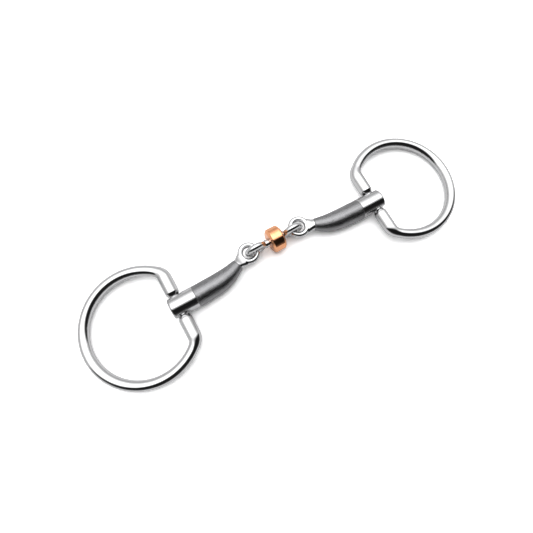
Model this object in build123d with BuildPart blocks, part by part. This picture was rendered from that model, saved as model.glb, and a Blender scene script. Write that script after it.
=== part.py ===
from build123d import *
from math import acos, asin, cos, degrees, radians, sin
import os

os.makedirs("parts", exist_ok=True)

# X runs along the mouthpiece, +Y is the side the mouthpiece bows towards, Z is up.
# The bit lies on a table at z = 0 with its middle joint at x = 0.

# Mouthpiece
pin_spacing = 127.0  # from one cheek hinge axis to the other
mouth_bow = 7.85  # how far the arm eyes sit to the +Y side
hinge_clearance = 0.06  # radial, hinge pin in the barrel
weld_clearance = 0.02  # radial, spigots and tangs in their sockets before welding

# Barrel at the cheek end of each arm
barrel_diameter = 12.5
barrel_inboard = 10.2  # hinge axis to the face the arm starts from
barrel_outboard = 4.6  # hinge axis to the outer end
barrel_edge_radius = 1.4
barrel_inner_chamfer = 0.25
seat_diameter = 10.2  # flat spot-faced into each side of the barrel
seat_reach = 5.1  # seat face from the mouthpiece axis
spigot_diameter = 6.0
spigot_length = 7.0

# Cheek: a round ring cut off by a straight side that carries two posts
ring_radius = 30.3  # wire centre line
ring_cut_depth = 7.85  # how far the straight side cuts into the ring, centre line to centre line
wire_diameter = 6.0
post_diameter = 7.7
post_gap = 0.4  # between seat face and post end
post_cone_length = 2.4  # conical end of the post, along the post
post_cone_depth = 1.15
knuckle_bend = 7.0  # centre line radius where post turns into ring
taper_end_angle = 52.0  # ring angle, from the hinge side, where the wire is down to size
taper_sections = 5
pin_diameter = 5.0
pin_end_wall = 2.65  # solid post left between the pin seat and the knuckle
pin_end_chamfer = 0.3

# Dark arm between barrel and eye
arm_start_radius = 6.2
arm_inner_x = 25.0  # where the arm stops and the bright neck begins
arm_end_slope = 20.0  # degrees, arm and neck against the X axis
arm_middle_points = [(46.0, 0.3), (38.0, 0.85), (31.0, 2.45)]
# fraction along the arm, half width, half height
arm_sections = [
    (0.00, arm_start_radius, arm_start_radius),
    (0.16, 6.13, 6.05),
    (0.36, 6.00, 5.80),
    (0.54, 5.78, 5.42),
    (0.70, 5.26, 4.83),
    (0.86, 4.42, 4.03),
    (1.00, 3.50, 3.30),
]

# Eye on the inner end of each arm, lying flat
eye_x = 16.5
eye_outer_diameter = 12.8
eye_wire = 3.3
tang_diameter = 3.2
tang_length = 7.0
neck_radius = 3.4
neck_height = 3.15
# distance from the eye centre, half width, half height
neck_sections = [
    (4.0, 4.60, 1.55),
    (5.4, 4.30, 1.75),
    (6.8, 3.75, 2.20),
    (8.0, 3.48, 2.75),
]

# Middle link: two upright eyes on a spindle that carries the roller
link_y = 7.6  # the link lies a little back in the play of the eyes
link_eye_x = 12.0
link_eye_outer_diameter = 13.2
link_wire = 3.8
link_neck_radius = 2.1
link_waist_radius = 1.95
link_root_half_width = 1.75
link_root_half_height = 2.5
collar_diameter = 5.0
collar_width = 1.3
spindle_diameter = 4.4
spindle_end_diameter = 2.3
spindle_end_length = 2.9
roller_diameter = 14.4
roller_width = 8.3
roller_side_gap = 0.85  # each side when the roller sits in the middle of its spindle
roller_slide = 0.75  # how far the roller lies slid towards +X
roller_clearance = 0.08
roller_rim_chamfer = 1.25
roller_bore_chamfer = 0.55

# Sizes that follow from the ones above
hinge_x = pin_spacing / 2
barrel_radius = barrel_diameter / 2
axis_height = barrel_radius
wire_radius = wire_diameter / 2
post_radius = post_diameter / 2
barrel_face_x = hinge_x - barrel_inboard
ring_offset = ring_radius - ring_cut_depth
ring_drop = degrees(asin((axis_height - wire_radius) / (ring_offset + ring_radius)))
bend_angle = degrees(acos((ring_offset - knuckle_bend) / (ring_radius - knuckle_bend)))
bend_start = (ring_radius - knuckle_bend) * sin(radians(bend_angle))
pin_seat_end = bend_start - pin_end_wall
eye_ring_radius = (eye_outer_diameter - eye_wire) / 2
link_ring_radius = (link_eye_outer_diameter - link_wire) / 2
link_height = roller_diameter / 2
collar_inner_x = roller_width / 2 + roller_side_gap
collar_outer_x = collar_inner_x + collar_width
roller_start_x = roller_slide - roller_width / 2
link_root_x = link_eye_x - link_ring_radius
link_waist_x = (collar_outer_x + link_root_x) / 2
post_face = seat_reach + post_gap  # post end from the mouthpiece axis


def side_frame(side):
    # x outward from the middle, y always +Y, origin on the cheek hinge axis
    return Plane(origin=(side * hinge_x, 0, axis_height), x_dir=(side, 0, 0), z_dir=(0, 0, side))


def cheek_frame(side):
    # the same frame dropped about the hinge until the far wire lies on the table
    drop = radians(ring_drop)
    return Plane(
        origin=(side * hinge_x, 0, axis_height),
        x_dir=(side * cos(drop), 0, -sin(drop)),
        z_dir=(sin(drop), 0, side * cos(drop)),
    )


def ring_point(angle, half):
    # point on the wire centre line; angle 0 is the end of the post, half picks the +Y or -Y post
    along = -cos(radians(angle))
    across = sin(radians(angle))
    if angle < bend_angle:
        return (knuckle_bend * (1 + along), half * (bend_start + knuckle_bend * across))
    return (ring_offset + ring_radius * along, half * ring_radius * across)


def ring_section(frame, angle, half):
    # plane square to the wire centre line
    along = frame.x_dir * sin(radians(angle))
    across = frame.y_dir * (half * cos(radians(angle)))
    point = ring_point(angle, half)
    return Plane(
        origin=frame.from_local_coords((point[0], point[1], 0)),
        x_dir=frame.z_dir,
        z_dir=along + across,
    )


def make_ring(side):
    frame = cheek_frame(side)
    ring_centre = frame.from_local_coords((ring_offset, 0, 0))
    bend_length = knuckle_bend * radians(bend_angle)
    taper_length = bend_length + ring_radius * radians(taper_end_angle - bend_angle)
    end_radius = post_radius - post_cone_depth
    with BuildPart() as ring:
        with BuildSketch(ring_section(frame, taper_end_angle, 1)):
            Circle(wire_radius)
        revolve(axis=Axis(ring_centre, frame.z_dir * -1), revolution_arc=360 - 2 * taper_end_angle)
        for half in (1, -1):
            with BuildLine(frame):
                for low, high in ((0, bend_angle), (bend_angle, taper_end_angle)):
                    ends = [ring_point(angle, half) for angle in (low, (low + high) / 2, high)]
                    ThreePointArc(*ends)
            for step in range(taper_sections):
                share = step / (taper_sections - 1)
                distance = taper_length * share
                angle = degrees(distance / knuckle_bend)
                if distance > bend_length:
                    angle = bend_angle + degrees((distance - bend_length) / ring_radius)
                eased = share * share * (3 - 2 * share)
                with BuildSketch(ring_section(frame, angle, half)):
                    Circle(post_radius + (wire_radius - post_radius) * eased)
            sweep(multisection=True)
            with BuildSketch(frame):
                with BuildLine():
                    Polyline(
                        (end_radius, half * post_face),
                        (post_radius, half * (post_face + post_cone_length)),
                        (post_radius, half * bend_start),
                        (0, half * bend_start),
                        (0, half * pin_seat_end),
                        (pin_diameter / 2 + weld_clearance, half * pin_seat_end),
                        (pin_diameter / 2 + weld_clearance, half * post_face),
                        close=True,
                    )
                make_face()
            revolve(axis=Axis(frame.origin, frame.y_dir))
    return ring


def make_pin(side):
    frame = side_frame(side)
    with BuildPart() as pin:
        with BuildSketch(Plane(origin=frame.origin, x_dir=frame.x_dir, z_dir=frame.y_dir)):
            Circle(pin_diameter / 2)
        extrude(amount=pin_seat_end, both=True)
        chamfer(pin.edges().filter_by(GeomType.CIRCLE), pin_end_chamfer)
    return pin


def make_barrel(side):
    frame = side_frame(side)
    cross = Plane(origin=frame.origin, x_dir=frame.x_dir, z_dir=frame.y_dir)
    face = Plane(
        origin=frame.from_local_coords((-barrel_inboard, 0, 0)),
        x_dir=frame.y_dir,
        z_dir=frame.x_dir,
    )
    with BuildPart() as barrel:
        with BuildSketch(face):
            Circle(barrel_radius)
        extrude(amount=barrel_inboard + barrel_outboard)
        rims = barrel.edges().filter_by(GeomType.CIRCLE)
        fillet(rims.sort_by_distance(face.origin)[-1], barrel_edge_radius)
        rims = barrel.edges().filter_by(GeomType.CIRCLE)
        chamfer(rims.sort_by_distance(face.origin)[0], barrel_inner_chamfer)
        for half in (1, -1):
            with BuildSketch(cross.offset(half * seat_reach)):
                Circle(seat_diameter / 2)
            extrude(amount=half * barrel_radius, mode=Mode.SUBTRACT)
        with BuildSketch(cross):
            Circle(pin_diameter / 2 + hinge_clearance)
        extrude(amount=barrel_radius, both=True, mode=Mode.SUBTRACT)
        with BuildSketch(face):
            Circle(spigot_diameter / 2)
        extrude(amount=-spigot_length)
    return barrel


def neck_direction(side):
    # from the eye centre towards the arm
    return Vector(side * cos(radians(arm_end_slope)), -sin(radians(arm_end_slope)), 0)


def arm_end(side):
    reach = (arm_inner_x - eye_x) / cos(radians(arm_end_slope))
    return Vector(side * eye_x, mouth_bow, axis_height) + neck_direction(side) * reach


def upright_section(point, heading):
    # plane square to a level heading, x level, y straight up
    level = Vector(-heading.Y, heading.X, 0)
    return Plane(origin=point, x_dir=level, z_dir=heading)


def make_arm(side):
    start = Vector(side * barrel_face_x, 0, axis_height)
    end = arm_end(side)
    middles = [Vector(side * x, y, axis_height) for x, y in arm_middle_points]
    with BuildLine() as centre_line:
        Spline(start, *middles, end, tangents=[Vector(-side, 0, 0), neck_direction(side) * -1])
    path = centre_line.edges()[0]
    with BuildPart() as arm:
        for share, half_width, half_height in arm_sections:
            with BuildSketch(upright_section(path @ share, path % share)):
                Ellipse(half_width, half_height)
        loft()
        with BuildSketch(Plane(origin=start, x_dir=(0, 1, 0), z_dir=(-side, 0, 0))):
            Circle(spigot_diameter / 2 + weld_clearance)
        extrude(amount=spigot_length + weld_clearance, mode=Mode.SUBTRACT)
        with BuildSketch(upright_section(end, neck_direction(side))):
            Circle(tang_diameter / 2 + weld_clearance)
        extrude(amount=tang_length + weld_clearance, mode=Mode.SUBTRACT)
    return arm


def make_eye(side):
    centre = Vector(side * eye_x, mouth_bow, axis_height)
    heading = neck_direction(side)
    end = arm_end(side)
    with BuildPart() as eye:
        with BuildSketch(Plane(origin=centre, x_dir=heading, z_dir=heading.cross(Vector(0, 0, 1)))):
            with Locations((eye_ring_radius, 0)):
                Circle(eye_wire / 2)
        revolve(axis=Axis(centre, (0, 0, 1)))
        for reach, half_width, half_height in neck_sections:
            with BuildSketch(upright_section(centre + heading * reach, heading)):
                Ellipse(half_width, half_height)
        with BuildSketch(upright_section(end, heading)):
            Ellipse(neck_radius, neck_height)
        loft()
        with BuildSketch(upright_section(end, heading)):
            Circle(tang_diameter / 2)
        extrude(amount=tang_length)
    return eye


def link_section(side, x):
    # plane square to the link axis, x level, y straight up
    return Plane(origin=(side * x, link_y, link_height), x_dir=(0, 1, 0), z_dir=(side, 0, 0))


def make_link_eye(side):
    centre = Vector(side * link_eye_x, link_y, link_height)
    with BuildPart() as link_eye:
        with BuildSketch(Plane(origin=centre, x_dir=(side, 0, 0), z_dir=(0, 0, 1))):
            with Locations((link_ring_radius, 0)):
                Circle(link_wire / 2)
        revolve(axis=Axis(centre, (0, 1, 0)))
        with BuildSketch(link_section(side, collar_outer_x)):
            Circle(link_neck_radius)
        with BuildSketch(link_section(side, link_waist_x)):
            Circle(link_waist_radius)
        with BuildSketch(link_section(side, link_root_x)):
            Ellipse(link_root_half_width, link_root_half_height)
        loft()
        with BuildSketch(link_section(side, collar_inner_x)):
            Circle(collar_diameter / 2)
        extrude(amount=collar_width)
        with BuildSketch(link_section(side, collar_inner_x)):
            Circle(spindle_end_diameter / 2 + weld_clearance)
        extrude(amount=spindle_end_length + weld_clearance, mode=Mode.SUBTRACT)
    return link_eye


for side, name in ((-1, "left"), (1, "right")):
    cheek_ring = make_ring(side)
    cheek_ring.part.label = name + "_cheek_ring"
    export_step(cheek_ring.part, "parts/" + name + "_cheek_ring.step")

    hinge_pin = make_pin(side)
    hinge_pin.part.label = name + "_hinge_pin"
    export_step(hinge_pin.part, "parts/" + name + "_hinge_pin.step")

    barrel = make_barrel(side)
    barrel.part.label = name + "_barrel"
    export_step(barrel.part, "parts/" + name + "_barrel.step")

    mouth_arm = make_arm(side)
    mouth_arm.part.label = name + "_mouth_arm"
    export_step(mouth_arm.part, "parts/" + name + "_mouth_arm.step")

    arm_eye = make_eye(side)
    arm_eye.part.label = name + "_arm_eye"
    export_step(arm_eye.part, "parts/" + name + "_arm_eye.step")

    link_eye = make_link_eye(side)
    link_eye.part.label = name + "_link_eye"
    export_step(link_eye.part, "parts/" + name + "_link_eye.step")

with BuildPart() as link_spindle:
    with BuildSketch(link_section(1, -collar_inner_x)):
        Circle(spindle_diameter / 2)
    extrude(amount=2 * collar_inner_x)
    with BuildSketch(link_section(1, -collar_inner_x - spindle_end_length)):
        Circle(spindle_end_diameter / 2)
    extrude(amount=2 * (collar_inner_x + spindle_end_length))
link_spindle.part.label = "link_spindle"
export_step(link_spindle.part, "parts/link_spindle.step")

with BuildPart() as roller:
    with BuildSketch(link_section(1, roller_start_x)):
        Circle(roller_diameter / 2)
    extrude(amount=roller_width)
    chamfer(roller.edges().filter_by(GeomType.CIRCLE), roller_rim_chamfer)
    with BuildSketch(link_section(1, roller_start_x)):
        Circle(spindle_diameter / 2 + roller_clearance)
    extrude(amount=roller_width, mode=Mode.SUBTRACT)
    bore_edges = roller.edges().filter_by(
        lambda edge: edge.geom_type == GeomType.CIRCLE and edge.radius < spindle_diameter
    )
    chamfer(bore_edges, roller_bore_chamfer)
roller.part.label = "roller"
export_step(roller.part, "parts/roller.step")
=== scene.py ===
import bpy
import bmesh
import math
from mathutils import Matrix, Vector


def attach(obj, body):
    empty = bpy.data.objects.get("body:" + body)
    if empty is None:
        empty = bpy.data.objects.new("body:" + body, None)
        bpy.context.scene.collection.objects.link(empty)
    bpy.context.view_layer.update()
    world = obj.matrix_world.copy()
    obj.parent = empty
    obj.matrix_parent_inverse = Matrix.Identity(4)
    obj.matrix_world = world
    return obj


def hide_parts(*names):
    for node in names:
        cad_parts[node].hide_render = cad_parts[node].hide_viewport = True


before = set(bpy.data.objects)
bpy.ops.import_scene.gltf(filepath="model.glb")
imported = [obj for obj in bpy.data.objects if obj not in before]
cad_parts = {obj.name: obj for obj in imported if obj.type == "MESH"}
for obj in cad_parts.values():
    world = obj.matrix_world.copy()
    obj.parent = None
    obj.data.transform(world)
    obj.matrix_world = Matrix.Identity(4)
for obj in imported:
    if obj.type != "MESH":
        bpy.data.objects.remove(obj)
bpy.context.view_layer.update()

mm = 0.001
sides = ((-1, "left"), (1, "right"))

for name in ("Cube", "Light", "Camera"):   # Blender's start-up objects
    spare = bpy.data.objects.get(name)
    if spare:
        bpy.data.objects.remove(spare)

bitScene = bpy.context.scene
bitScene.view_settings.view_transform = "Standard"

cameraSetup = {
    "place": (-46.49, -42.17, 209.94),   # mm
    "right": (0.8684, -0.4926, 0.0565),
    "up": (0.4669, 0.8509, 0.2408),
    "lens": 25.41,
    "sensor": 36.0,
    "nearest": 5.0,   # mm
}


def makeCamera():
    right = Vector(cameraSetup["right"]).normalized()
    up = Vector(cameraSetup["up"])
    up = (up - right * up.dot(right)).normalized()
    back = right.cross(up)
    data = bpy.data.cameras.new("tableCamera")
    data.lens = cameraSetup["lens"]
    data.sensor_width = cameraSetup["sensor"]
    data.clip_start = cameraSetup["nearest"] * mm
    camera = bpy.data.objects.new("tableCamera", data)
    place = Vector(cameraSetup["place"]) * mm
    camera.matrix_world = Matrix((
        (right.x, up.x, back.x, place.x),
        (right.y, up.y, back.y, place.y),
        (right.z, up.z, back.z, place.z),
        (0, 0, 0, 1),
    ))
    bitScene.collection.objects.link(camera)
    bitScene.camera = camera


makeCamera()
print("camera placed")


# Node helpers

def setSockets(node, values):
    for key, value in values.items():
        node.inputs[key].default_value = value


def newNode(tree, kind, sockets=None, **settings):
    node = tree.nodes.new("ShaderNode" + kind)
    for key, value in settings.items():
        setattr(node, key, value)
    setSockets(node, sockets or {})
    return node


def newGroup(name, inputs, outputs):
    group = bpy.data.node_groups.new(name, "ShaderNodeTree")
    face = group.interface
    for socketName, kind, value in inputs:
        socket = face.new_socket(name=socketName, in_out="INPUT", socket_type="NodeSocket" + kind)
        if value is not None:
            socket.default_value = value
    for socketName, kind in outputs:
        face.new_socket(name=socketName, in_out="OUTPUT", socket_type="NodeSocket" + kind)
    return group, group.nodes.new("NodeGroupInput"), group.nodes.new("NodeGroupOutput")


def wire(tree, *pairs):
    for source, target in pairs:
        tree.links.new(source, target)


def spread(tree, value, low, high):
    # a mask from 0 to 1 becomes a value from low to high
    node = newNode(tree, "MapRange", {"To Min": low, "To Max": high})
    tree.links.new(value, node.inputs["Value"])
    return node.outputs[0]


def twoTone(tree, value, dark, light, places=(0.25, 0.75)):
    node = newNode(tree, "ValToRGB")
    for element, place, tone in zip(node.color_ramp.elements, places, (dark, light)):
        element.position = place
        element.color = (*tone, 1)
    tree.links.new(value, node.inputs["Fac"])
    return node.outputs["Color"]


studio = {
    "overhead": 3.8,        # soft light straight above
    "walls": 0.92,          # pale tent at table level
    "wide": (16, 74),       # degrees from straight up over which the first becomes the second
    "flag": 0.02,           # black cloth over the -Y side
    "flagEdge": (-4, 23),   # degrees from straight up, towards -Y, over which the cloth begins
    "flagTurn": 3.0,        # degrees, the cloth's edge against the bit
    "beyond": 0.30,         # dim room under the cloth's far edge
    "farEdge": (66, 92),    # degrees from straight up, where the cloth gives way to the room
    "backdrop": 0.97,       # plain pale wall that only the camera sees
}


def makeTent():
    world = bpy.data.worlds.new("softTent")
    world.use_nodes = True
    tree = world.node_tree
    tree.nodes.clear()

    def fade(angle, degrees, low, high):
        node = newNode(tree, "MapRange", {
            "From Min": math.radians(degrees[0]), "From Max": math.radians(degrees[1]),
            "To Min": low, "To Max": high,
        }, interpolation_type="SMOOTHSTEP")
        tree.links.new(angle, node.inputs["Value"])
        return node.outputs["Result"]

    place = newNode(tree, "TexCoord")
    turn = newNode(tree, "VectorRotate", rotation_type="Z_AXIS")
    setSockets(turn, {"Angle": math.radians(studio["flagTurn"])})
    split = newNode(tree, "SeparateXYZ")
    fromTop = newNode(tree, "Math", operation="ARCCOSINE")
    flip = newNode(tree, "Math", {1: -1.0}, operation="MULTIPLY")
    lean = newNode(tree, "Math", operation="ARCTAN2")
    light = newNode(tree, "Mix", data_type="FLOAT")
    ray = newNode(tree, "LightPath")
    seen = newNode(tree, "Mix", {3: studio["backdrop"]}, data_type="FLOAT")
    glow = newNode(tree, "Background")
    output = newNode(tree, "OutputWorld")
    wire(tree,
         (place.outputs["Generated"], turn.inputs["Vector"]), (turn.outputs[0], split.inputs[0]),
         (split.outputs["Z"], fromTop.inputs[0]), (split.outputs["Y"], flip.inputs[0]),
         (flip.outputs[0], lean.inputs[0]), (split.outputs["Z"], lean.inputs[1]))
    tent = fade(fromTop.outputs[0], studio["wide"], studio["overhead"], studio["walls"])
    cloth = fade(fromTop.outputs[0], studio["farEdge"], studio["flag"], studio["beyond"])
    share = fade(lean.outputs[0], studio["flagEdge"], 0.0, 1.0)
    wire(tree,
         (share, light.inputs[0]), (tent, light.inputs[2]), (cloth, light.inputs[3]),
         (ray.outputs["Is Camera Ray"], seen.inputs[0]), (light.outputs[0], seen.inputs[2]),
         (seen.outputs[0], glow.inputs["Strength"]), (glow.outputs[0], output.inputs["Surface"]))
    bitScene.world = world


whiteTable = {
    "half": 4000,       # mm
    "dark": (0.99, 0.99, 0.995),
    "light": (1, 1, 1),
    "mottle": 3.0,
    "rough": 0.6,
    "seen": 1.55,       # the sheet under the bit is lit until it burns out white
    "mirrored": 0.75,   # what the metal gets back from it
    "glow": 0.06,
}


def makeTable():
    paper = bpy.data.materials.new("whiteTable")
    paper.use_nodes = True
    tree = paper.node_tree
    shader = tree.nodes["Principled BSDF"]
    setSockets(shader, {
        "Roughness": whiteTable["rough"], "Specular IOR Level": 0.0,
        "Emission Color": (1, 1, 1, 1), "Emission Strength": whiteTable["glow"],
    })
    mottle = newNode(tree, "TexNoise", {"Scale": whiteTable["mottle"]})
    tone = twoTone(tree, mottle.outputs["Fac"], whiteTable["dark"], whiteTable["light"], (0.0, 1.0))
    ray = newNode(tree, "LightPath")
    level = newNode(tree, "Mix", data_type="FLOAT")
    setSockets(level, {2: whiteTable["mirrored"], 3: whiteTable["seen"]})
    lit = newNode(tree, "VectorMath", operation="SCALE")
    wire(tree,
         (ray.outputs["Is Camera Ray"], level.inputs[0]),
         (tone, lit.inputs[0]), (level.outputs[0], lit.inputs["Scale"]),
         (lit.outputs[0], shader.inputs["Base Color"]))
    half = whiteTable["half"] * mm
    shape = bmesh.new()
    corners = ((-half, -half), (half, -half), (half, half), (-half, half))
    shape.faces.new([shape.verts.new((x, y, 0)) for x, y in corners])
    mesh = bpy.data.meshes.new("whiteTable")
    shape.to_mesh(mesh)
    shape.free()
    mesh.materials.append(paper)
    table = bpy.data.objects.new("whiteTable", mesh)
    bitScene.collection.objects.link(table)


makeTent()
makeTable()
print("studio ready")


grainLook = {
    "lines": {"Scale": 1.0, "Detail": 5.0, "Roughness": 0.65},
    "patches": {"Scale": 0.45, "Detail": 2.0},
    "sharpen": {"From Min": 0.32, "From Max": 0.68},
}


def makeFineLines():
    # close parallel lines that run along one direction: a satin arm's grain or a turned barrel
    group, given, result = newGroup(
        "fineLines",
        [("Vector", "Vector", None), ("Along", "Float", 1.0), ("Across", "Float", 40.0),
         ("Break", "Float", 0.4)],
        [("Lines", "Float"), ("Height", "Float")],
    )
    stretch = newNode(group, "CombineXYZ")
    place = newNode(group, "VectorMath", operation="MULTIPLY")
    lines = newNode(group, "TexNoise", grainLook["lines"], noise_dimensions="2D")
    patches = newNode(group, "TexNoise", grainLook["patches"], noise_dimensions="2D")
    sharpen = newNode(group, "MapRange", grainLook["sharpen"])
    weigh = newNode(group, "Mix", data_type="FLOAT")
    wire(group,
         (given.outputs["Along"], stretch.inputs["X"]),
         (given.outputs["Across"], stretch.inputs["Y"]),
         (given.outputs["Vector"], place.inputs[0]), (stretch.outputs[0], place.inputs[1]),
         (place.outputs[0], lines.inputs["Vector"]),
         (given.outputs["Vector"], patches.inputs["Vector"]),
         (lines.outputs["Fac"], sharpen.inputs["Value"]),
         (given.outputs["Break"], weigh.inputs[0]), (sharpen.outputs[0], weigh.inputs[2]),
         (patches.outputs["Fac"], weigh.inputs[3]),
         (weigh.outputs[0], result.inputs["Lines"]),
         (sharpen.outputs[0], result.inputs["Height"]))
    return group


handlingLook = {
    "smudge": {"Detail": 4.0, "Roughness": 0.6},
    "wave": {"Detail": 0.5},
    "bend": {"Scale": 180.0},
    "push": {1: (0.006, 0.006, 0.006)},   # how far the scratches wander, in m
    "thin": {"From Min": 0.0, "From Max": 0.018, "To Min": 1.0, "To Max": 0.0},
    "rare": {"From Min": 0.52, "From Max": 0.66},
}


def makeHandling():
    # soft smudges, a few hair scratches and the slow waviness that polishing leaves
    group, given, result = newGroup(
        "handling",
        [("Smudge Size", "Float", 260.0), ("Scratch Size", "Float", 900.0),
         ("Wave Size", "Float", 140.0)],
        [("Smudges", "Float"), ("Scratches", "Float"), ("Waves", "Float")],
    )
    place = newNode(group, "TexCoord")
    smudge = newNode(group, "TexNoise", handlingLook["smudge"])
    wave = newNode(group, "TexNoise", handlingLook["wave"])
    bend = newNode(group, "TexNoise", handlingLook["bend"])
    push = newNode(group, "VectorMath", handlingLook["push"], operation="MULTIPLY_ADD")
    cells = newNode(group, "TexVoronoi", feature="DISTANCE_TO_EDGE")
    thin = newNode(group, "MapRange", handlingLook["thin"])
    rare = newNode(group, "MapRange", handlingLook["rare"])
    scratch = newNode(group, "Math", operation="MULTIPLY")
    here = place.outputs["Object"]
    wire(group,
         (here, smudge.inputs["Vector"]), (given.outputs["Smudge Size"], smudge.inputs["Scale"]),
         (here, wave.inputs["Vector"]), (given.outputs["Wave Size"], wave.inputs["Scale"]),
         (here, bend.inputs["Vector"]),
         (bend.outputs["Color"], push.inputs[0]), (here, push.inputs[2]),
         (push.outputs[0], cells.inputs["Vector"]),
         (given.outputs["Scratch Size"], cells.inputs["Scale"]),
         (cells.outputs["Distance"], thin.inputs["Value"]),
         (smudge.outputs["Fac"], rare.inputs["Value"]),
         (thin.outputs[0], scratch.inputs[0]), (rare.outputs[0], scratch.inputs[1]),
         (smudge.outputs["Fac"], result.inputs["Smudges"]),
         (scratch.outputs[0], result.inputs["Scratches"]),
         (wave.outputs["Fac"], result.inputs["Waves"]))
    return group


fineLines = makeFineLines()
handling = makeHandling()
bumpDepth = {"waves": 0.001, "fine": 0.0001}   # m


def makeMetal(name, look):
    metal = bpy.data.materials.new(name)
    metal.use_nodes = True
    tree = metal.node_tree
    shader = tree.nodes["Principled BSDF"]
    setSockets(shader, {"Metallic": 1.0})
    marks = newNode(tree, "Group", {
        "Smudge Size": look["smudgeSize"], "Scratch Size": look["scratchSize"],
        "Wave Size": look["waveSize"],
    }, node_tree=handling)
    waves, fine = [
        newNode(tree, "Bump", {"Distance": bumpDepth[key], "Strength": look[key]})
        for key in ("waves", "fine")
    ]
    if look["lines"]:
        place = newNode(tree, "UVMap", uv_map="grainMap")
        lines = newNode(tree, "Group", {
            "Along": look["along"], "Across": look["across"], "Break": look["broken"],
        }, node_tree=fineLines)
        tree.links.new(place.outputs[0], lines.inputs["Vector"])
        mask, ridges = lines.outputs["Lines"], lines.outputs["Height"]
    else:
        mask, ridges = marks.outputs["Smudges"], marks.outputs["Scratches"]
    blend = newNode(tree, "Math", {1: look["scratchRough"]}, operation="MULTIPLY_ADD")
    wire(tree,
         (twoTone(tree, mask, look["dark"], look["light"]), shader.inputs["Base Color"]),
         (marks.outputs["Scratches"], blend.inputs[0]),
         (spread(tree, mask, look["smooth"], look["rough"]), blend.inputs[2]),
         (blend.outputs[0], shader.inputs["Roughness"]),
         (marks.outputs["Waves"], waves.inputs["Height"]), (ridges, fine.inputs["Height"]),
         (waves.outputs[0], fine.inputs["Normal"]), (fine.outputs[0], shader.inputs["Normal"]))
    return metal


metalLooks = {
    "mirrorSteel": {
        "dark": (0.54, 0.54, 0.545), "light": (0.60, 0.60, 0.605), "smooth": 0.04, "rough": 0.08,
        "scratchRough": 0.05, "smudgeSize": 220, "scratchSize": 520, "waveSize": 150,
        "waves": 0.03, "fine": 0.02, "lines": False,
    },
    "turnedSteel": {
        "dark": (0.47, 0.47, 0.475), "light": (0.58, 0.58, 0.585), "smooth": 0.07, "rough": 0.14,
        "scratchRough": 0.08, "smudgeSize": 300, "scratchSize": 700, "waveSize": 170,
        "waves": 0.03, "fine": 0.08, "lines": True, "along": 0.25, "across": 7.0, "broken": 0.3,
    },
    "satinDark": {
        "dark": (0.195, 0.195, 0.20), "light": (0.25, 0.25, 0.256), "smooth": 0.24, "rough": 0.33,
        "scratchRough": 0.08, "smudgeSize": 200, "scratchSize": 600, "waveSize": 110,
        "waves": 0.05, "fine": 0.30, "lines": True, "along": 0.16, "across": 5.0, "broken": 0.35,
    },
    "copperSkin": {
        "dark": (0.82, 0.35, 0.17), "light": (0.88, 0.43, 0.23), "smooth": 0.06, "rough": 0.13,
        "scratchRough": 0.08, "smudgeSize": 260, "scratchSize": 700, "waveSize": 160,
        "waves": 0.03, "fine": 0.10, "lines": True, "along": 0.25, "across": 6.0, "broken": 0.35,
    },
}
finishes = {name: makeMetal(name, look) for name, look in metalLooks.items()}
print("finishes ready")


# Shape helpers, all in mm until a mesh is written

def addObject(name, shape):
    bmesh.ops.recalc_face_normals(shape, faces=shape.faces)
    for vert in shape.verts:
        vert.co *= mm
    mesh = bpy.data.meshes.new(name)
    shape.to_mesh(mesh)
    shape.free()
    thing = bpy.data.objects.new(name, mesh)
    bitScene.collection.objects.link(thing)
    return thing


def addPiece(name, shape, finish, body, node, sharp):
    # sharp is the angle in degrees above which an edge stays crisp
    piece = addObject(name, shape)
    piece.data.shade_smooth()
    piece.data.set_sharp_from_angle(angle=math.radians(sharp))
    piece.data.materials.append(finishes[finish])
    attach(piece, body)
    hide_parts(node)
    return piece


def applyModifiers(thing):
    return bpy.data.meshes.new_from_object(
        thing.evaluated_get(bpy.context.evaluated_depsgraph_get()))


def joinRows(shape, rows, looped):
    # quads from each row of vertices to the next, each with its place in the grid
    quads = []
    for index in range(len(rows) if looped else len(rows) - 1):
        here, there = rows[index], rows[(index + 1) % len(rows)]
        for step in range(len(here)):
            after = (step + 1) % len(here)
            face = shape.faces.new((here[step], here[after], there[after], there[step]))
            quads.append((index, step, face))
    return quads


def addTube(shape, stations, around):
    # each station is a centre and the two half axes of its oval
    grain = shape.loops.layers.uv.get("grainMap") or shape.loops.layers.uv.new("grainMap")
    rows, length = [], [0.0]
    for centre, wide, tall in stations:
        row = []
        for step in range(around):
            turn = 2 * math.pi * step / around
            row.append(shape.verts.new(centre + wide * math.cos(turn) + tall * math.sin(turn)))
        rows.append(row)
    for last, here in zip(stations, stations[1:]):
        change = abs(here[1].length - last[1].length)
        length.append(length[-1] + max((here[0] - last[0]).length, change))
    girth = max(wide.length for centre, wide, tall in stations) * 2 * math.pi
    for index, step, face in joinRows(shape, rows, False):
        where = ((index, step), (index, step + 1), (index + 1, step + 1), (index + 1, step))
        for loop, (row, column) in zip(face.loops, where):
            loop[grain].uv = (length[row], girth * column / around)
    shape.faces.new(rows[0])
    shape.faces.new(rows[-1])


def addTurned(shape, profile, x, y, z, side, around):
    # profile points are (distance along the side's outward X, radius)
    stations = []
    for reach, radius in profile:
        centre = Vector((side * (x + reach), y, z))
        stations.append((centre, Vector((0, radius, 0)), Vector((0, 0, radius))))
    addTube(shape, stations, around)


hoopSteps = {"along": 96, "around": 40}


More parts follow.
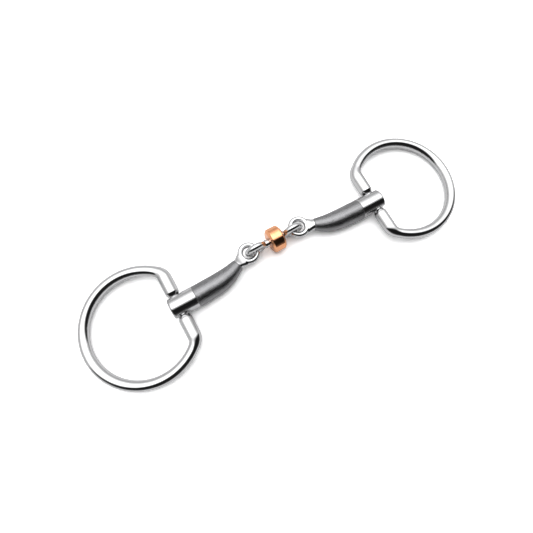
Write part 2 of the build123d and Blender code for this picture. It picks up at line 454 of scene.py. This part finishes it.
def addHoop(shape, centre, axis, ringRadius, wireRadius):
    # a closed round eye; axis is the direction through its hole
    first = axis.orthogonal().normalized()
    second = axis.cross(first)
    rows = []
    for step in range(hoopSteps["along"]):
        turn = 2 * math.pi * step / hoopSteps["along"]
        out = first * math.cos(turn) + second * math.sin(turn)
        middle = centre + out * ringRadius
        row = []
        for k in range(hoopSteps["around"]):
            roll = 2 * math.pi * k / hoopSteps["around"]
            row.append(shape.verts.new(middle + out * (wireRadius * math.cos(roll))
                                       + axis * (wireRadius * math.sin(roll))))
        rows.append(row)
    joinRows(shape, rows, True)


def meltTogether(shape, cell, passes):
    # one skin over closed shapes that cross, its inside corners eased by polishing
    lump = addObject("melt", shape)
    mesh = lump.data
    skin = lump.modifiers.new("skin", "REMESH")
    skin.mode = "VOXEL"
    skin.voxel_size = cell * mm
    ease = lump.modifiers.new("ease", "SMOOTH")
    ease.factor = 0.5
    ease.iterations = passes
    solid = applyModifiers(lump)
    melted = bmesh.new()
    melted.from_mesh(solid)
    bpy.data.objects.remove(lump)
    bpy.data.meshes.remove(mesh)
    bpy.data.meshes.remove(solid)
    for vert in melted.verts:
        vert.co /= mm
    return melted


def easeInOut(share):
    share = min(1.0, max(0.0, share))
    return share * share * (3 - 2 * share)


def quarterRound(steps):
    # how far a rounding of radius 1 lies from its two tangents, at even turns up to 90 degrees
    turns = [math.pi / 2 * step / steps for step in range(steps + 1)]
    return [(1 - math.cos(turn), 1 - math.sin(turn)) for turn in turns]


def cubicBetween(t, low, leaving, high, arriving):
    # smooth step from low to high with the given slopes at its ends, t from 0 to 1
    return ((2 * t ** 3 - 3 * t ** 2 + 1) * low + (t ** 3 - 2 * t ** 2 + t) * leaving
            + (3 * t ** 2 - 2 * t ** 3) * high + (t ** 3 - t ** 2) * arriving)


hair = 1e-9   # keeps a place that falls on a row within that row's span


def readOff(table, share):
    # smooth reading between rows of (share, value, ...)
    for low, high in zip(table, table[1:]):
        if share <= high[0] + hair:
            break
    before = table[max(0, table.index(low) - 1)]
    after = table[min(len(table) - 1, table.index(high) + 1)]
    span = high[0] - low[0]
    values = []
    for k in range(1, len(low)):
        leaving = (high[k] - before[k]) / (high[0] - before[0]) * span
        arriving = (after[k] - low[k]) / (after[0] - low[0]) * span
        values.append(cubicBetween((share - low[0]) / span, low[k], leaving, high[k], arriving))
    return values


bit = {"hingeX": 63.5, "axisHeight": 6.25}   # mm


cheekRing = {
    "ringRadius": 30.3,
    "cutDepth": 7.85,
    "wire": 3.0,
    "post": 3.85,
    "postFace": 5.5,
    "coneLength": 2.4,
    "coneDepth": 1.15,
    "coneSoft": 1.6,        # radius where the cone meets the post
    "faceInset": 0.06,      # the rim between face and cone is broken by this much
    "faceShare": 0.04,      # and over this share of the cone
    "knuckle": 7.0,
    "taperEnd": 52.0,       # degrees
    "bore": 2.53,
    "boreEnd": 14.8,
    "boreFlare": (0.1, 0.08),   # depth and width of the bore's broken edge
    "handRipple": 0.030,    # how far hand polishing has thinned the knuckles
    "rippleEnd": 75.0,      # degrees
    "rippleWaves": 9.0,
    "rippleShift": 2.1,     # sets the two sides apart
    "rippleTall": 0.4,      # share of it on the upper and lower faces
    "steps": {"cone": 8, "soft": 6, "post": 16, "bend": 32, "round": 90, "around": 80},
    "sharp": 40,
}


def halfRingPath(offset, bend):
    # (u, v, direction angle, radius) from the bore to the ring's outermost point
    c, steps = cheekRing, cheekRing["steps"]
    wire, post, face, knuckle = c["wire"], c["post"], c["postFace"], c["knuckle"]
    long, deep, soft = c["coneLength"], c["coneDepth"], c["coneSoft"]
    bendStart = (c["ringRadius"] - knuckle) * math.sin(bend)
    bendLength = knuckle * bend
    taperLength = bendLength + c["ringRadius"] * (math.radians(c["taperEnd"]) - bend)

    def taper(share):
        return post + (wire - post) * easeInOut(share)

    flareDepth, flareWidth = c["boreFlare"]
    path = [
        (0, c["boreEnd"], 0, c["bore"]),
        (0, face + flareDepth, 0, c["bore"]),
        (0, face, 0, c["bore"] + flareWidth),
        (0, face, 0, post - deep - c["faceInset"]),
    ]
    tilt = math.atan2(deep, long)
    lead = soft * math.tan(tilt / 2)
    for step in range(steps["cone"]):
        straight = 1 - c["faceShare"] - lead / long * math.cos(tilt)
        share = c["faceShare"] + straight * step / steps["cone"]
        path.append((0, face + long * share, 0, post - deep * (1 - share)))
    for step in range(steps["soft"] + 1):
        turn = tilt * (1 - step / steps["soft"])
        path.append((0, face + long + lead - soft * math.sin(turn), 0,
                     post - soft * (1 - math.cos(turn))))
    coneEnd = face + long + lead
    for step in range(1, steps["post"]):
        path.append((0, coneEnd + (bendStart - coneEnd) * step / steps["post"], 0, post))
    for step in range(steps["bend"] + 1):
        angle = bend * step / steps["bend"]
        path.append((knuckle * (1 - math.cos(angle)), bendStart + knuckle * math.sin(angle), angle,
                     taper(knuckle * angle / taperLength)))
    for step in range(1, steps["round"] + 1):
        angle = bend + (math.pi - bend) * step / steps["round"]
        path.append((offset - c["ringRadius"] * math.cos(angle), c["ringRadius"] * math.sin(angle),
                     angle, taper((bendLength + c["ringRadius"] * (angle - bend)) / taperLength)))
    return path


def makeCheekRing(side, name):
    c = cheekRing
    offset = c["ringRadius"] - c["cutDepth"]
    drop = math.asin((bit["axisHeight"] - c["wire"]) / (offset + c["ringRadius"]))
    bend = math.acos((offset - c["knuckle"]) / (c["ringRadius"] - c["knuckle"]))
    outward = Vector((side * math.cos(drop), 0, -math.sin(drop)))
    upward = Vector((side * math.sin(drop), 0, math.cos(drop)))
    across = Vector((0, 1, 0))
    origin = Vector((side * bit["hingeX"], 0, bit["axisHeight"]))
    half = halfRingPath(offset, bend)
    path = [(u, v, angle, radius, 1) for u, v, angle, radius in half]
    path += [(u, -v, angle, radius, -1) for u, v, angle, radius in reversed(half[:-1])]
    rippleEnd = math.radians(c["rippleEnd"])
    stations = []
    for u, v, angle, radius, hand in path:
        place = origin + outward * u + across * v
        inward = outward * math.cos(angle) - across * (hand * math.sin(angle))
        ripple = 0.0
        if 0 < angle < rippleEnd:
            near = math.sin(math.pi * angle / rippleEnd)
            wave = math.sin(c["rippleWaves"] * angle + c["rippleShift"] * side + hand)
            ripple = c["handRipple"] * near * (0.5 + 0.5 * wave)
        stations.append((place, inward * (radius - ripple),
                         upward * (radius - ripple * c["rippleTall"])))
    shape = bmesh.new()
    addTube(shape, stations, c["steps"]["around"])
    addPiece(name + "CheekRing", shape, "mirrorSteel", name + "_cheek", name + "_cheek_ring",
             c["sharp"])


for side, name in sides:
    makeCheekRing(side, name)
print("cheek rings bent")


barrelSleeve = {
    "radius": 6.25,
    "inboard": 10.2,
    "outboard": 4.6,
    "outerRound": 1.4,
    "innerRound": 0.25,
    "seatRadius": 5.1,
    "seatReach": 5.1,
    "bore": 2.56,
    "edge": 0.10,
    "edgeAngle": 38,   # degrees
    "cutterRoom": 2,   # how far the cutters stand out of the barrel
    "steps": {"inner": 4, "straight": 24, "outer": 8, "around": 128, "cutter": 96, "edge": 2},
    "sharp": 32,
}


def throughCutter(x, z, radius, low, high):
    stations = []
    for y in (low, high):
        stations.append((Vector((x, y, z)), Vector((radius, 0, 0)), Vector((0, 0, radius))))
    shape = bmesh.new()
    addTube(shape, stations, barrelSleeve["steps"]["cutter"])
    return addObject("cutter", shape)


def makeBarrel(side, name):
    b, steps = barrelSleeve, barrelSleeve["steps"]
    x, z, radius = bit["hingeX"], bit["axisHeight"], b["radius"]
    start, end = b["innerRound"] - b["inboard"], b["outboard"] - b["outerRound"]
    profile = [(b["innerRound"] * flat - b["inboard"], radius - b["innerRound"] * steep)
               for flat, steep in quarterRound(steps["inner"])]
    profile += [(start + (end - start) * step / steps["straight"], radius)
                for step in range(1, steps["straight"])]
    profile += [(b["outboard"] - b["outerRound"] * steep, radius - b["outerRound"] * flat)
                for flat, steep in quarterRound(steps["outer"])]
    shape = bmesh.new()
    addTurned(shape, profile, x, 0, z, side, steps["around"])
    piece = addPiece(name + "Barrel", shape, "turnedSteel", name + "_arm", name + "_barrel",
                     b["sharp"])
    clear = radius + b["cutterRoom"]
    cutters = [
        throughCutter(side * x, z, b["seatRadius"], b["seatReach"], clear),
        throughCutter(side * x, z, b["seatRadius"], -clear, -b["seatReach"]),
        throughCutter(side * x, z, b["bore"], -clear, clear),
    ]
    for cutter in cutters:
        cut = piece.modifiers.new("cut", "BOOLEAN")
        cut.operation = "DIFFERENCE"
        cut.solver = "EXACT"
        cut.object = cutter
    edge = piece.modifiers.new("edge", "BEVEL")
    edge.width = b["edge"] * mm
    edge.segments = steps["edge"]
    edge.limit_method = "ANGLE"
    edge.angle_limit = math.radians(b["edgeAngle"])
    edge.harden_normals = True
    blank, piece.data = piece.data, applyModifiers(piece)
    piece.modifiers.clear()
    bpy.data.meshes.remove(blank)
    for cutter in cutters:
        bpy.data.objects.remove(cutter)


for side, name in sides:
    makeBarrel(side, name)
print("barrels turned and spot-faced")


mouthArm = {
    "start": (53.3, 0.0),
    "middles": ((46.0, 0.3), (38.0, 0.85), (31.0, 2.45)),
    "innerX": 25.0,
    "slope": 20.0,        # degrees
    "eyeX": 16.5,
    "bow": 7.85,
    "rim": 0.22,
    # share of the length, half width, half height
    "sections": [
        (0.00, 6.20, 6.20),
        (0.16, 6.13, 6.05),
        (0.36, 6.00, 5.80),
        (0.54, 5.78, 5.42),
        (0.70, 5.26, 4.83),
        (0.86, 4.42, 4.03),
        (1.00, 3.50, 3.30),
    ],
    "steps": {"along": 96, "around": 96, "rim": 4},
    "sharp": 40,
}


def smoothPath(points, startSlope, endSlope, count):
    # a clamped cubic y(x) through the points, read at even steps of x
    xs, ys = zip(*sorted(points))
    n = len(xs)
    rows = [[0.0] * (n + 1) for _ in range(n)]
    rows[0][0], rows[0][n] = 1.0, startSlope
    rows[n - 1][n - 1], rows[n - 1][n] = 1.0, endSlope
    for k in range(1, n - 1):
        before, after = xs[k] - xs[k - 1], xs[k + 1] - xs[k]
        rise, climb = ys[k] - ys[k - 1], ys[k + 1] - ys[k]
        rows[k][k - 1], rows[k][k], rows[k][k + 1] = after, 2 * (before + after), before
        rows[k][n] = 3 * (after * rise / before + before * climb / after)
    for k in range(n):
        scale = rows[k][k]
        rows[k] = [value / scale for value in rows[k]]
        for other in range(n):
            if other != k and rows[other][k]:
                share = rows[other][k]
                rows[other] = [a - share * b for a, b in zip(rows[other], rows[k])]
    slopes = [row[n] for row in rows]
    path = []
    for step in range(count + 1):
        x = xs[0] + (xs[-1] - xs[0]) * step / count
        k = max(i for i in range(n - 1) if xs[i] <= x + hair)
        wide = xs[k + 1] - xs[k]
        path.append((x, cubicBetween((x - xs[k]) / wide, ys[k], wide * slopes[k],
                                     ys[k + 1], wide * slopes[k + 1])))
    return path


def roundedRim(station, inwards):
    # the arm's bare end narrows by the rim's radius over that same depth
    centre, wide, tall = station
    rim = mouthArm["rim"]
    stations = []
    for flat, steep in quarterRound(mouthArm["steps"]["rim"]):
        stations.append((centre + inwards * rim * flat,
                         wide.normalized() * (wide.length - rim * steep),
                         tall.normalized() * (tall.length - rim * steep)))
    return stations


def makeArm(side, name):
    a = mouthArm
    tilt = math.tan(math.radians(a["slope"]))
    end = (a["innerX"], a["bow"] - (a["innerX"] - a["eyeX"]) * tilt)
    path = smoothPath([a["start"], *a["middles"], end], -tilt, 0.0, a["steps"]["along"])
    path.reverse()   # from the barrel to the eye
    length = [0.0]
    for here, there in zip(path, path[1:]):
        length.append(length[-1] + math.dist(here, there))
    stations = []
    for index, (x, y) in enumerate(path):
        low, high = path[max(0, index - 1)], path[min(len(path) - 1, index + 1)]
        heading = Vector((high[0] - low[0], high[1] - low[1], 0)).normalized()
        if index == 0:
            heading = Vector((-1, 0, 0))
        level = Vector((-heading.y * side, heading.x, 0))
        wide, tall = readOff(a["sections"], length[index] / length[-1])
        stations.append((Vector((side * x, y, bit["axisHeight"])), level * wide,
                         Vector((0, 0, tall))))
    backwards = -Vector((heading.x * side, heading.y, 0))   # from the eye's end
    barrelRim = roundedRim(stations[0], Vector((-side, 0, 0)))
    eyeRim = roundedRim(stations[-1], backwards)
    shape = bmesh.new()
    addTube(shape, barrelRim[:-1] + stations[1:-1] + eyeRim[::-1], a["steps"]["around"])
    addPiece(name + "MouthArm", shape, "satinDark", name + "_arm", name + "_mouth_arm",
             a["sharp"])


for side, name in sides:
    makeArm(side, name)
print("mouth arms drawn")


armEye = {
    "outer": 6.4,
    "wire": 1.65,
    # distance from the eye centre, half width, half height
    "neck": [
        (3.6, 4.55, 1.45),
        (4.0, 4.60, 1.55),
        (5.4, 4.30, 1.75),
        (6.8, 3.75, 2.20),
        (8.0, 3.48, 2.75),
        (9.05, 3.40, 3.15),
    ],
    "cell": 0.13,
    "easing": 14,
    "steps": {"neck": 24, "around": 64},
    "sharp": 60,
}


def makeArmEye(side, name):
    e, a = armEye, mouthArm
    centre = Vector((side * a["eyeX"], a["bow"], bit["axisHeight"]))
    slope = math.radians(a["slope"])
    heading = Vector((side * math.cos(slope), -math.sin(slope), 0))
    level = Vector((-heading.y, heading.x, 0))
    shape = bmesh.new()
    addHoop(shape, centre, Vector((0, 0, 1)), e["outer"] - e["wire"], e["wire"])
    start, end = e["neck"][0][0], e["neck"][-1][0]
    stations = []
    for step in range(e["steps"]["neck"] + 1):
        reach = start + (end - start) * step / e["steps"]["neck"]
        wide, tall = readOff(e["neck"], reach)
        stations.append((centre + heading * reach, level * wide, Vector((0, 0, tall))))
    addTube(shape, stations, e["steps"]["around"])
    melted = meltTogether(shape, e["cell"], e["easing"])
    addPiece(name + "ArmEye", melted, "mirrorSteel", name + "_arm", name + "_arm_eye",
             e["sharp"])


for side, name in sides:
    makeArmEye(side, name)
print("arm eyes forged")


linkPiece = {
    "y": 7.6,
    "z": 7.2,
    "eyeX": 12.0,
    "outer": 6.6,
    "wire": 1.9,
    # distance from the middle, radius
    "neck": ((5.0, 2.5), (5.02, 2.5), (6.25, 2.5), (6.3, 2.42), (6.35, 2.1), (7.0, 1.95),
             (8.2, 1.8)),
    "cell": 0.13,
    "easing": 10,
    "around": 64,
    "sharp": 60,
}


def makeLinkEye(side, name):
    link = linkPiece
    centre = Vector((side * link["eyeX"], link["y"], link["z"]))
    shape = bmesh.new()
    addHoop(shape, centre, Vector((0, 1, 0)), link["outer"] - link["wire"], link["wire"])
    addTurned(shape, link["neck"], 0, link["y"], link["z"], side, link["around"])
    melted = meltTogether(shape, link["cell"], link["easing"])
    addPiece(name + "LinkEye", melted, "mirrorSteel", "link", name + "_link_eye",
             link["sharp"])


for side, name in sides:
    makeLinkEye(side, name)
print("link eyes forged")


copperRoller = {
    "radius": 7.2,
    "width": 8.3,
    "slide": 0.75,
    "bevel": 1.25,
    "soften": 0.30,     # rounding at both edges of the bevel
    "faceBlend": 0.7,   # share of it that runs up the bevel from the end face
    "rimBlend": 0.3,    # share of the bevel that bends into the round
    "rimRun": 0.5,      # share of the rounding that runs on along the round
    "bore": 2.28,
    "boreBevel": 0.55,
    "steps": {"soften": 5, "half": 12, "around": 128},
    "sharp": 40,
}


def makeRoller():
    r, steps = copperRoller, copperRoller["steps"]
    half, rim, wide, soft = r["width"] / 2, r["radius"], r["bevel"], r["soften"]
    shares = [step / steps["soften"] for step in range(1, steps["soften"])]
    bent = r["rimBlend"] * wide
    corner = [(half, r["bore"] + r["boreBevel"]), (half, rim - wide - soft)]
    for t in shares:      # end face into bevel
        rise = r["faceBlend"] * soft * t * t
        corner.append((half - rise, rim - wide - soft * (1 - t) + rise))
    corner.append((half - wide + bent, rim - bent))
    for t in shares:      # bevel into the round
        corner.append((half - wide + bent * (1 - t) - r["rimRun"] * soft * t,
                       rim - bent * (1 - t) ** 2))
    corner.append((half - wide - soft, rim))
    flat = half - wide - soft
    middle = [(flat * step / steps["half"], rim)
              for step in range(steps["half"] - 1, -steps["half"], -1)]
    left = [(-x, radius) for x, radius in reversed(corner)]
    bore = [(r["boreBevel"] - half, r["bore"]), (half - r["boreBevel"], r["bore"])]
    loop = [(x + r["slide"], radius) for x, radius in corner + middle + left + bore]
    around = steps["around"]
    turns = [2 * math.pi * step / around for step in range(around)]
    y, z = linkPiece["y"], linkPiece["z"]
    shape = bmesh.new()
    grain = shape.loops.layers.uv.new("grainMap")
    rows = [[shape.verts.new((x, y + radius * math.cos(turn), z + radius * math.sin(turn)))
             for turn in turns] for x, radius in loop]
    girth = 2 * math.pi * rim
    lengths = [x + radius for x, radius in loop]
    for index, step, face in joinRows(shape, rows, True):
        near, far = lengths[index], lengths[(index + 1) % len(loop)]
        where = ((near, step), (near, step + 1), (far, step + 1), (far, step))
        for faceCorner, (reach, column) in zip(face.loops, where):
            faceCorner[grain].uv = (girth * column / around, reach)
    addPiece("copperRoller", shape, "copperSkin", "roller_body", "roller", r["sharp"])


makeRoller()
print("roller turned")


# the pins and the spindle are left as they come and show only in the gaps
for node in ("left_hinge_pin", "right_hinge_pin", "link_spindle"):
    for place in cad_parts[node].material_slots:
        place.material = finishes["mirrorSteel"]
